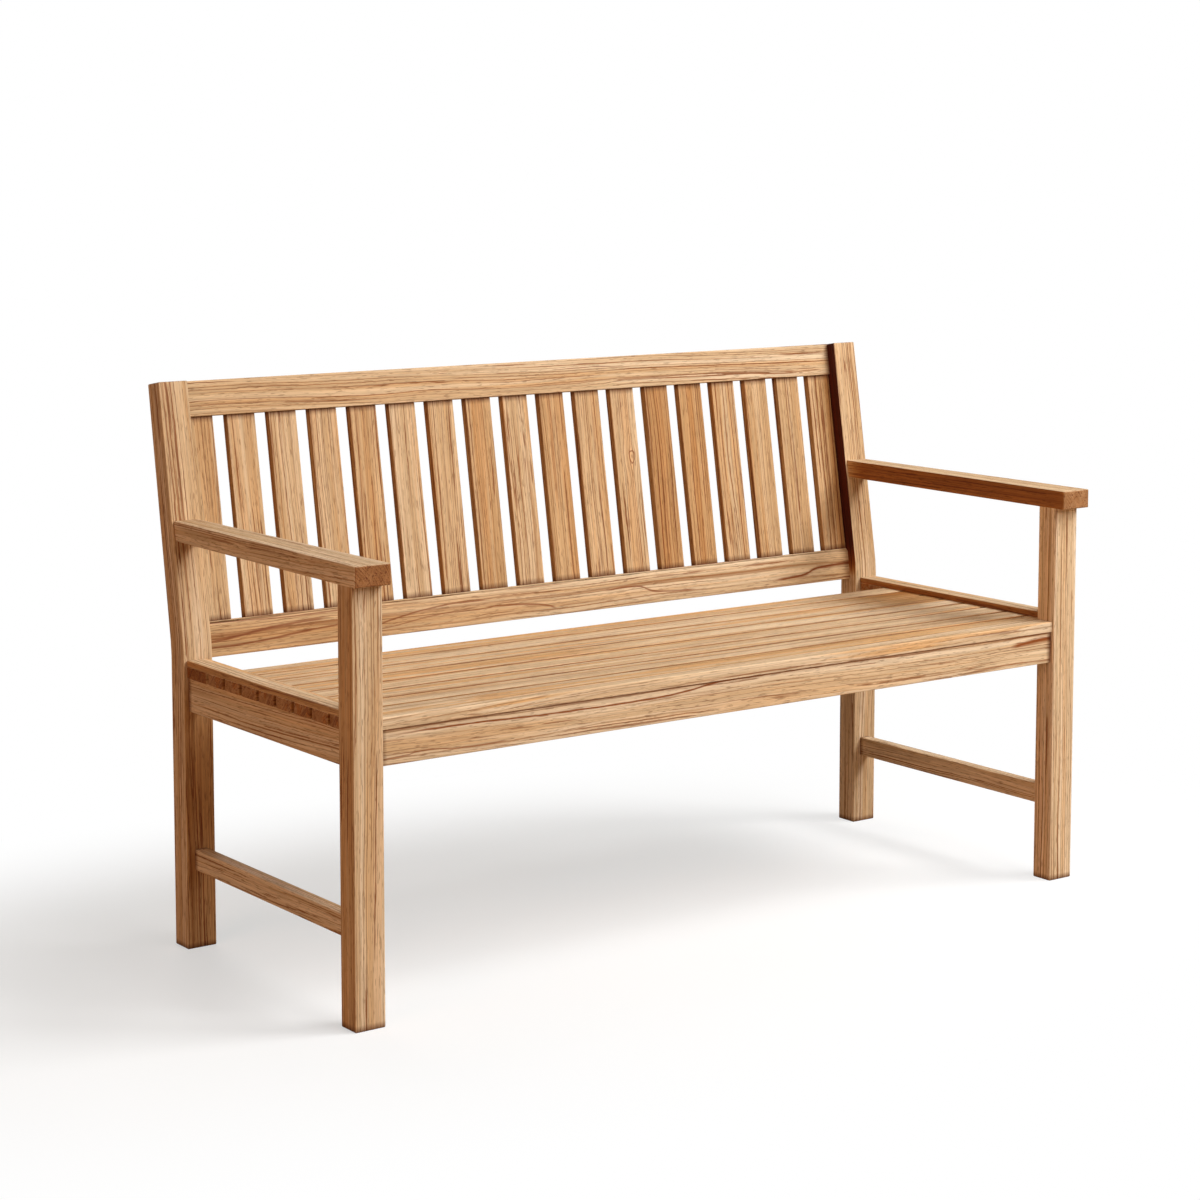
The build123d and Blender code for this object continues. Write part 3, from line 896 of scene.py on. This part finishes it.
def streaks(tree, place, scale, low, high, detail=2.0):
    """Long spots of noise, 0 to 1, where the noise lies above low."""
    return between(tree, noise(tree, place, scale, detail, 0.6).outputs["Fac"], low, high)


print("Rings and streaks ready")


# %% Knots and drawn lines
def round_knot(tree, place):
    """Spread the rings round a knot: near it, a place moves towards the knot's middle."""
    from_knot = add_node(tree, "ShaderNodeAttribute", attribute_name="from_knot")
    offset = stretch(tree, from_knot.outputs["Vector"], (0.55, 1, 1))
    distance = add_node(tree, "ShaderNodeVectorMath", operation="LENGTH")
    feed(tree, distance.inputs[0], offset)
    near = between(tree, distance.outputs["Value"], 0.0, 0.024, -0.8, 0.0)
    back = add_node(tree, "ShaderNodeVectorMath", operation="SCALE")
    feed(tree, back.inputs[0], stretch(tree, from_knot.outputs["Vector"], (0, 1, 1)))
    feed(tree, back.inputs["Scale"], near)
    moved = add_node(tree, "ShaderNodeVectorMath", operation="ADD")
    feed(tree, moved.inputs[0], place)
    feed(tree, moved.inputs[1], back.outputs[0])
    uneven = noise(tree, place, (60, 120, 120), 2).outputs["Fac"]
    width = reckon(tree, "MULTIPLY_ADD", uneven, 0.006, distance.outputs["Value"])
    outline = reckon(tree, "ABSOLUTE", reckon(tree, "SUBTRACT", width, 0.0085))
    outline = between(tree, outline, 0.0004, 0.0014, 0.9, 0.0)
    middle = between(tree, width, 0.0035, 0.0055, 0.5, 0.0)
    return moved.outputs[0], reckon(tree, "MAXIMUM", outline, middle)


def drawn_line(tree, where, points, thickness):
    """0 to 1 along a line on a lengthwise board, through points of (x, height).

    A curve node turns a place's x into the line's height. The place is on the line
    where its own height differs from that by less than the thickness, which wavers.
    """
    low = min(height for _, height in points) - 0.01
    span = max(height for _, height in points) + 0.01 - low
    start, end = points[0][0], points[-1][0]
    share = reckon(tree, "DIVIDE", reckon(tree, "SUBTRACT", where["X"], start), end - start)
    bent = add_node(tree, "ShaderNodeFloatCurve")
    curve = bent.mapping.curves[0]
    curve.points[0].location = (0, (points[0][1] - low) / span)
    curve.points[-1].location = (1, (points[-1][1] - low) / span)
    for x, height in points[1:-1]:
        curve.points.new((x - start) / (end - start), (height - low) / span)
    bent.mapping.update()
    feed(tree, bent.inputs["Value"], share)
    height = reckon(tree, "MULTIPLY_ADD", bent.outputs[0], span, low)
    away = reckon(tree, "ABSOLUTE", reckon(tree, "SUBTRACT", where["Z"], height))
    uneven = noise(tree, where["place"], (25, 25, 500), 3).outputs["Fac"]
    wide = reckon(tree, "MULTIPLY", between(tree, uneven, 0.3, 0.7, 0.6, 1.4), thickness)
    line = between(tree, reckon(tree, "DIVIDE", away, wide), 0.1, 1.0, 1.0, 0.0)
    fade = reckon(tree, "MULTIPLY", between(tree, share, 0.0, 0.12),
                  between(tree, share, 0.88, 1.0, 1.0, 0.0))
    return reckon(tree, "MULTIPLY", line, fade)


print("Knots and drawn lines ready")

# %% [markdown]
# ## Colour, age and gloss
#
# The colour is built up in the order in which the eye finds it: a pale ground, tan and orange
# bands, brown streaks, the line of each ring, fibres and pores. Then comes what happened to
# the wood, together with painted light and shade: redder heart and painted shade on shaded
# faces, paler outer wood and painted light on a few boards, dirt and painted shade at the
# joints, darker end grain, and rubbed edges that are pale from rubbing and a painted highlight.
# Every step mixes two colours by one pattern, so that it can be changed alone. A baked
# image would render faster, but all of this would be fixed in it.

# %% Patterns in the wood
def attribute(tree, name, output="Fac"):
    """Read a value that every point of a board carries."""
    return add_node(tree, "ShaderNodeAttribute", attribute_name=name).outputs[output]


def wood_patterns(tree, ring_width, bands):
    """All patterns of a wood by name, each from 0 to 1."""
    bent = push(tree, attribute(tree, "grain", "Vector"), (1.6, 9, 9), 0.022)
    wavy = push(tree, push(tree, bent, (6, 30, 30), 0.003), (34, 110, 110), 0.0014)
    place, knot = round_knot(tree, wavy)
    return {
        "late": late_lines(tree, place, ring_width),
        "tan": streaks(tree, place, (0.9, bands * 1.6, bands * 1.6), 0.4, 0.6),
        "orange": streaks(tree, bent, (0.7, bands, bands), 0.52, 0.6),
        "brown": streaks(tree, place, (1.3, 2 * bands, 2 * bands), 0.62, 0.72),
        "thin": streaks(tree, place, (1.3, 300, 300), 0.57, 0.66),
        "fibres": noise(tree, place, (8, 520, 520), 3, 0.6).outputs["Fac"],
        "pores": streaks(tree, place, (50, 620, 620), 0.59, 0.69, 1),
        "knot": knot,
    }


print("Patterns ready")


# %% Colour of fresh wood
def grain_colour(tree, seen, tan, orange, brown, lines):
    """Bands, streaks, ring lines, fibres, pores and knots on a pale ground."""
    colour = blend(tree, reckon(tree, "MULTIPLY", seen["tan"], tan), pale_wood, tan_wood)
    layers = [
        ("orange", orange, orange_wood),
        ("brown", brown, brown_streak),
        ("late", lines, late_wood),
        ("thin", lines, line_brown),
    ]
    for pattern, share, wood_colour in layers:
        amount = reckon(tree, "MULTIPLY", seen[pattern], share)
        colour = blend(tree, amount, colour, wood_colour)
    shade = between(tree, seen["fibres"], 0.3, 0.7, 0.84, 1.14)
    fibre_tint = add_node(tree, "ShaderNodeCombineColor")
    for socket in fibre_tint.inputs:
        feed(tree, socket, shade)
    colour = blend(tree, 1.0, colour, fibre_tint.outputs[0], "MULTIPLY")
    pores = reckon(tree, "MULTIPLY", seen["pores"], pore_share)
    colour = blend(tree, pores, colour, pore_brown)
    knot = reckon(tree, "MULTIPLY", seen["knot"], knot_share)
    return blend(tree, knot, colour, mark_and_shadow_brown)


def add_marks(tree, colour, marks):
    """Draw a board's own lines, each given by its points, thickness and strength; on the apron
    one of them is a painted shadow.
    """
    if not marks:
        return colour
    centre = add_node(tree, "ShaderNodeTexCoord").outputs["Object"]
    split = add_node(tree, "ShaderNodeSeparateXYZ")
    feed(tree, split.inputs[0], centre)
    where = {"X": split.outputs["X"], "Z": split.outputs["Z"], "place": centre}
    for points, thickness, strength in marks:
        line = drawn_line(tree, where, points, thickness)
        colour = blend(tree, reckon(tree, "MULTIPLY", line, strength), colour, mark_and_shadow_brown)
    return colour


print("Fresh wood ready")


# %% Age, wear, and painted light and shade
def tone_part(tree, tone, sign):
    """The tone where it has this sign, without the sign, and 0 elsewhere."""
    return reckon(tree, "MAXIMUM", reckon(tree, "MULTIPLY", tone, sign), 0.0)


def toned(tree, colour):
    """Redder heartwood and painted shade where the tone is above 0, paler wood and painted
    light below it, dirt and painted shade at joints.

    The tint of heartwood and shade is raised to the power of the tone times a fixed power.
    """
    tone = attribute(tree, "tone")
    # Redder heartwood, and painted shade on shaded faces, where the tone is above 0.
    heart_and_shade = add_node(tree, "ShaderNodeGamma")
    feed(tree, heart_and_shade.inputs["Color"], heart_and_shade_tint)
    power = reckon(tree, "MULTIPLY", tone_part(tree, tone, 1), heart_and_shade_power)
    feed(tree, heart_and_shade.inputs["Gamma"], power)
    colour = blend(tree, 1.0, colour, heart_and_shade.outputs[0], "MULTIPLY")
    # Paler wood, and painted light on a few boards, where the tone is below 0.
    paler = blend(tree, 1.0, colour, pale_and_lit_tint, "MULTIPLY")
    colour = blend(tree, tone_part(tree, tone, -1), colour, paler)
    # Dirt and painted shade at the joints.
    dirty_and_shaded = blend(tree, 1.0, colour, dirt_and_shade_tint, "MULTIPLY")
    joint_dirt_and_shade = reckon(tree, "MULTIPLY", attribute(tree, "joint_dirt_and_shade"), dirt_and_shade_share)
    return blend(tree, joint_dirt_and_shade, colour, dirty_and_shaded)


def wear_highlight_and_end_grain(tree, colour, fibres, wear_and_highlight):
    """End grain drinks more finish and is darker. Handled edges that face upwards are paler,
    from rubbing and from a painted highlight.
    """
    normal = add_node(tree, "ShaderNodeNewGeometry").outputs["True Normal"]
    along = add_node(tree, "ShaderNodeVectorMath", operation="DOT_PRODUCT")
    feed(tree, along.inputs[0], normal)
    feed(tree, along.inputs[1], attribute(tree, "fibre", "Vector"))
    end_grain = between(tree, reckon(tree, "ABSOLUTE", along.outputs["Value"]), 0.35, 0.7)
    upward = add_node(tree, "ShaderNodeSeparateXYZ")
    feed(tree, upward.inputs[0], normal)
    # Only edges that face upwards get the paler colour: rubbing and a painted highlight.
    rubbed_and_highlit = attribute(tree, "worn_and_highlit")
    limits = [
        between(tree, fibres, 0.3, 0.7, wear_and_highlight / 4, wear_and_highlight),
        between(tree, upward.outputs["Z"], -0.3, 0.2),
        between(tree, end_grain, 0, 1, 1, 0),
    ]
    for limit in limits:
        rubbed_and_highlit = reckon(tree, "MULTIPLY", rubbed_and_highlit, limit)
    colour = blend(tree, rubbed_and_highlit, colour, worn_edge_and_highlight)
    return blend(tree, end_grain, colour, blend(tree, 1.0, colour, end_tint, "MULTIPLY"))


print("Age and wear ready")


# %% The wood material
def wood(name, ring_width, tan, orange, brown, lines, bands=45, wear_and_highlight=0.2, marks=()):
    """Oak with its own ring width and its own share of each colour and of brown lines."""
    material = bpy.data.materials.new(name)
    material.use_nodes = True
    tree = material.node_tree
    shader = tree.nodes["Principled BSDF"]
    seen = wood_patterns(tree, ring_width, bands)
    colour = grain_colour(tree, seen, tan, orange, brown, lines)
    colour = toned(tree, add_marks(tree, colour, marks))
    feed(tree, shader.inputs["Base Color"], wear_highlight_and_end_grain(tree, colour, seen["fibres"], wear_and_highlight))

    rough = between(tree, seen["late"], 0, 1, 0.64, 0.52)
    rough = reckon(tree, "MULTIPLY_ADD", seen["pores"], 0.2, rough)
    feed(tree, shader.inputs["Roughness"], rough)
    shader.inputs["Specular IOR Level"].default_value = 0.25

    height = reckon(tree, "MULTIPLY_ADD", seen["pores"], -0.8, seen["fibres"])
    height = reckon(tree, "MULTIPLY_ADD", seen["late"], 0.5, height)
    bump = add_node(tree, "ShaderNodeBump")
    bump.inputs["Strength"].default_value = 0.5
    bump.inputs["Distance"].default_value = 0.0004
    feed(tree, bump.inputs["Height"], height)
    feed(tree, shader.inputs["Normal"], bump.outputs["Normal"])
    return material


print("Material ready")

# %% Bold lines of the apron and the lower back rail, and a painted shadow on the apron
apron_lines_and_shadow = [
    ([(-0.66, 0.4055), (-0.54, 0.4074), (-0.34, 0.4034), (-0.19, 0.4035), (-0.12, 0.4066),
      (-0.04, 0.4142), (0.03, 0.4152), (0.3, 0.4185)], 0.0024, 1.0),
    ([(-0.66, 0.3742), (-0.6, 0.376), (-0.575, 0.379), (-0.51, 0.3749), (-0.42, 0.3753)],
     0.0018, 0.7),
    ([(0.55, 0.4), (0.59, 0.4035), (0.62, 0.4055), (0.72, 0.406)], 0.006, 1.0),
    # A painted shadow under the front board's edge, along the top of the apron.
    ([(-0.9, 0.415), (0, 0.415), (0.9, 0.415)], 0.003, 0.75),
]
rail_marks = [
    ([(-0.66, 0.4607), (-0.6, 0.4655), (-0.52, 0.4747), (-0.42, 0.479)], 0.0035, 0.75),
    ([(-0.66, 0.4534), (-0.57, 0.4546), (-0.47, 0.4626), (-0.38, 0.468)], 0.003, 0.8),
    ([(-0.66, 0.4904), (-0.6, 0.49), (-0.5, 0.487), (-0.36, 0.49)], 0.002, 0.7),
    ([(-0.36, 0.4517), (-0.3, 0.4661), (-0.21, 0.4768), (-0.12, 0.477)], 0.0022, 0.75),
    ([(-0.42, 0.448), (-0.33, 0.4517), (-0.24, 0.462), (-0.14, 0.468)], 0.0018, 0.6),
    ([(-0.14, 0.466), (-0.05, 0.4622), (-0.005, 0.4546), (0.01, 0.442)], 0.0026, 0.8),
    ([(0.1, 0.468), (0.17, 0.4705), (0.21, 0.4587), (0.3, 0.4546)], 0.0024, 0.8),
    ([(0.46, 0.452), (0.53, 0.4555), (0.58, 0.4664), (0.74, 0.4637)], 0.004, 1.0),
]
print("Bold lines:", len(apron_lines_and_shadow), "and", len(rail_marks))

# %% Give every board its wood
finishes = {
    "frame_wood": wood("frame_oak", 0.0048, 0.8, 0.3, 0.3, 0.9),
    "seat_wood": wood("seat_oak", 0.007, 0.8, 0.8, 0.35, 0.65, bands=50, wear_and_highlight=0.5),
    "arm_wood": wood("arm_oak", 0.0042, 0.8, 0.2, 0.3, 0.75),
    "back_wood": wood("back_oak", 0.005, 0.8, 0.38, 0.35, 0.9),
}
own_finishes = {
    "planed_front_apron": wood("apron_oak", 0.0052, 0.8, 0.3, 0.3, 0.75, marks=apron_lines_and_shadow),
    "planed_lower_back_rail": wood("rail_oak", 0.006, 0.8, 0.35, 0.5, 0.8, marks=rail_marks),
}
for board in bpy.data.objects:
    if board.name.startswith("planed_"):
        finish = own_finishes.get(board.name, finishes[board["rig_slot"]])
        board.data.materials.append(finish)
print("Finishes:", ", ".join(finishes))

# %% [markdown]
# ## Screws
#
# The screws through the board ends are real solids of the CAD model and keep their shape.
# They get a zinc-plated steel with fine turning marks: noise that is short along the screw
# and drives both the colour and the gloss, because a plain grey would look like plastic.

# %% Screw steel
steel = bpy.data.materials.new("zinc_steel")
steel.use_nodes = True
tree = steel.node_tree
shader = tree.nodes["Principled BSDF"]
where = add_node(tree, "ShaderNodeTexCoord").outputs["Object"]
turning = noise(tree, where, (900, 900, 4000), 3)
feed(tree, shader.inputs["Base Color"], blend(
    tree, turning.outputs["Fac"], linear(150, 152, 155), linear(190, 192, 194)))
feed(tree, shader.inputs["Roughness"], between(tree, turning.outputs["Fac"], 0, 1, 0.25, 0.45))
shader.inputs["Metallic"].default_value = 1.0
screws = frame["nodes"]["seat_end_screws"]
for material_slot in screws.material_slots:
    material_slot.material = steel
print("Screws keep", len(screws.material_slots), "material slot")

# %% [markdown]
# ## Floor
#
# The settle stands on a pale floor in front of a white surround. The floor takes the shadows.
# It glows a little for the camera alone, so that it reads as white without more light on the
# wood, and further out the glow takes over, so that the floor has no visible end. A backdrop
# curved up behind the settle would hide the end too, but it would throw light on the back.

# %% Floor
floor_half = 30.0
floor_grey = (0.5, 0.5, 0.5, 1)
floor_bounce = (0.4, 0.28, 0.19, 1)  # what the wood sees of the floor, warmer
glow_colour = (0.94, 0.985, 1, 1)
glow_strength = 0.5
fade_reach = (0.4, 1.35)
fade_shape = (0.77, 1.43, 0)  # the fade is an oval, shorter from front to back
fade_shift = (0.27, -0.07, 0)
mesh = bpy.data.meshes.new("studio_floor")
mesh.from_pydata(
    [(-floor_half, -floor_half, 0), (floor_half, -floor_half, 0),
     (floor_half, floor_half, 0), (-floor_half, floor_half, 0)], [], [(0, 1, 2, 3)])
floor = bpy.data.objects.new("studio_floor", mesh)
bpy.context.collection.objects.link(floor)
floor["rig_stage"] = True

floor_paint = bpy.data.materials.new("floor_white")
floor_paint.use_nodes = True
tree = floor_paint.node_tree
tree.nodes.clear()
output = add_node(tree, "ShaderNodeOutputMaterial")
painted = add_node(tree, "ShaderNodeBsdfDiffuse")
glow = add_node(tree, "ShaderNodeEmission")
rays = add_node(tree, "ShaderNodeLightPath")
feed(tree, painted.inputs["Color"], blend(
    tree, rays.outputs["Is Camera Ray"], floor_bounce, floor_grey))
lift = add_node(tree, "ShaderNodeEmission")
lift.inputs["Color"].default_value = glow_colour
feed(tree, lift.inputs["Strength"],
     reckon(tree, "MULTIPLY", rays.outputs["Is Camera Ray"], glow_strength))
near_floor = add_node(tree, "ShaderNodeAddShader")
tree.links.new(painted.outputs[0], near_floor.inputs[0])
tree.links.new(lift.outputs[0], near_floor.inputs[1])
where = add_node(tree, "ShaderNodeTexCoord").outputs["Object"]
around = add_node(tree, "ShaderNodeVectorMath", operation="MULTIPLY_ADD")
feed(tree, around.inputs[0], where)
around.inputs[1].default_value = fade_shape
around.inputs[2].default_value = fade_shift
distance = add_node(tree, "ShaderNodeVectorMath", operation="LENGTH")
feed(tree, distance.inputs[0], around.outputs[0])
fade = between(tree, distance.outputs["Value"], *fade_reach)
fade = reckon(tree, "MULTIPLY", fade, rays.outputs["Is Camera Ray"])
mixed = add_node(tree, "ShaderNodeMixShader")
feed(tree, mixed.inputs[0], fade)
tree.links.new(near_floor.outputs[0], mixed.inputs[1])
tree.links.new(glow.outputs[0], mixed.inputs[2])
tree.links.new(mixed.outputs[0], output.inputs["Surface"])
mesh.materials.append(floor_paint)
print("Floor is", 2 * floor_half, "m wide")

# %% [markdown]
# ## Surround and lamps
#
# The photograph's light is soft and falls from above and from the right, with a warmer
# light from the left. Four square lamps give that, and a dim warm surround fills the
# shadows. A sun lamp would be simpler, but its shadows have hard edges. A softbox shines
# down its own -Z, so it is tilted by the angle from straight down to its target, and then
# turned about Z.

# %% Surround and lamps
world = bpy.data.worlds.new("studio")
bpy.context.scene.world = world
world.use_nodes = True
tree = world.node_tree
tree.nodes.clear()
output = add_node(tree, "ShaderNodeOutputWorld")
background = add_node(tree, "ShaderNodeBackground")
rays = add_node(tree, "ShaderNodeLightPath")
fill_strength = 0.12
fill_colour = (1, 0.73, 0.53, 1)
feed(tree, background.inputs["Color"], blend(
    tree, rays.outputs["Is Camera Ray"], fill_colour, (1, 1, 1, 1)))
feed(tree, background.inputs["Strength"],
     reckon(tree, "MULTIPLY_ADD", rays.outputs["Is Camera Ray"], 1 - fill_strength,
            fill_strength))
tree.links.new(background.outputs[0], output.inputs["Surface"])


def softbox(name, place, target, size, power, colour=(1, 1, 1)):
    """A square lamp at a place, turned towards a target."""
    lamp = bpy.data.lights.new(name, "AREA")
    lamp.size = size
    lamp.energy = power
    lamp.color = colour
    holder = bpy.data.objects.new(name, lamp)
    holder.location = place
    aim = np.subtract(target, place)
    tilt = math.atan2(math.hypot(aim[0], aim[1]), -aim[2])
    holder.rotation_euler = (tilt, 0, math.atan2(aim[1], aim[0]) - math.pi / 2)
    bpy.context.collection.objects.link(holder)


softbox("key_lamp", (3.4, -2.45, 4.7), (0, 0, 0.4), 2.2, 262)
softbox("front_lamp", (1.3, -4.9, 3.7), (0, 0, 0.4), 3.5, 203)
softbox("warm_lamp", (-8.0, -3.0, 2.8), (0, 0, 0.5), 5.0, 212, (1.0, 0.61, 0.43))
softbox("back_lamp", (1.0, 6.0, 3.6), (0, 0, 0.4), 4.0, 130, (1.0, 0.93, 0.86))

# %% [markdown]
# ## Camera
#
# The camera stands where the corners of the boards fall on those in the photograph. The
# legs look parallel there. A camera that looks down makes uprights lean, so part of the
# look down is a shift of the lens instead, which leaves them upright.

# %% Camera
camera_down = 6.115  # degrees below level
camera_turn = -36.054
camera_data = bpy.data.cameras.new("camera")
camera_data.lens = 83.4
camera_data.shift_y = -0.14
camera = bpy.data.objects.new("camera", camera_data)
camera.location = (-2.5979, -3.4749, 1.2262)
camera.rotation_euler = (math.radians(90 - camera_down), 0, math.radians(camera_turn))
bpy.context.collection.objects.link(camera)
bpy.context.scene.camera = camera
bpy.context.scene.view_settings.view_transform = "Standard"
print("Camera is", round(math.dist(camera.location, (0, 0, 0.4)), 2), "m away")

# %% [markdown]
# ## Finish
#
# The box of the dressed settle is printed.

# %% Size of the dressed settle
low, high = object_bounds()
print("Visual box:", [round(v, 4) for v in (*low, *high)])
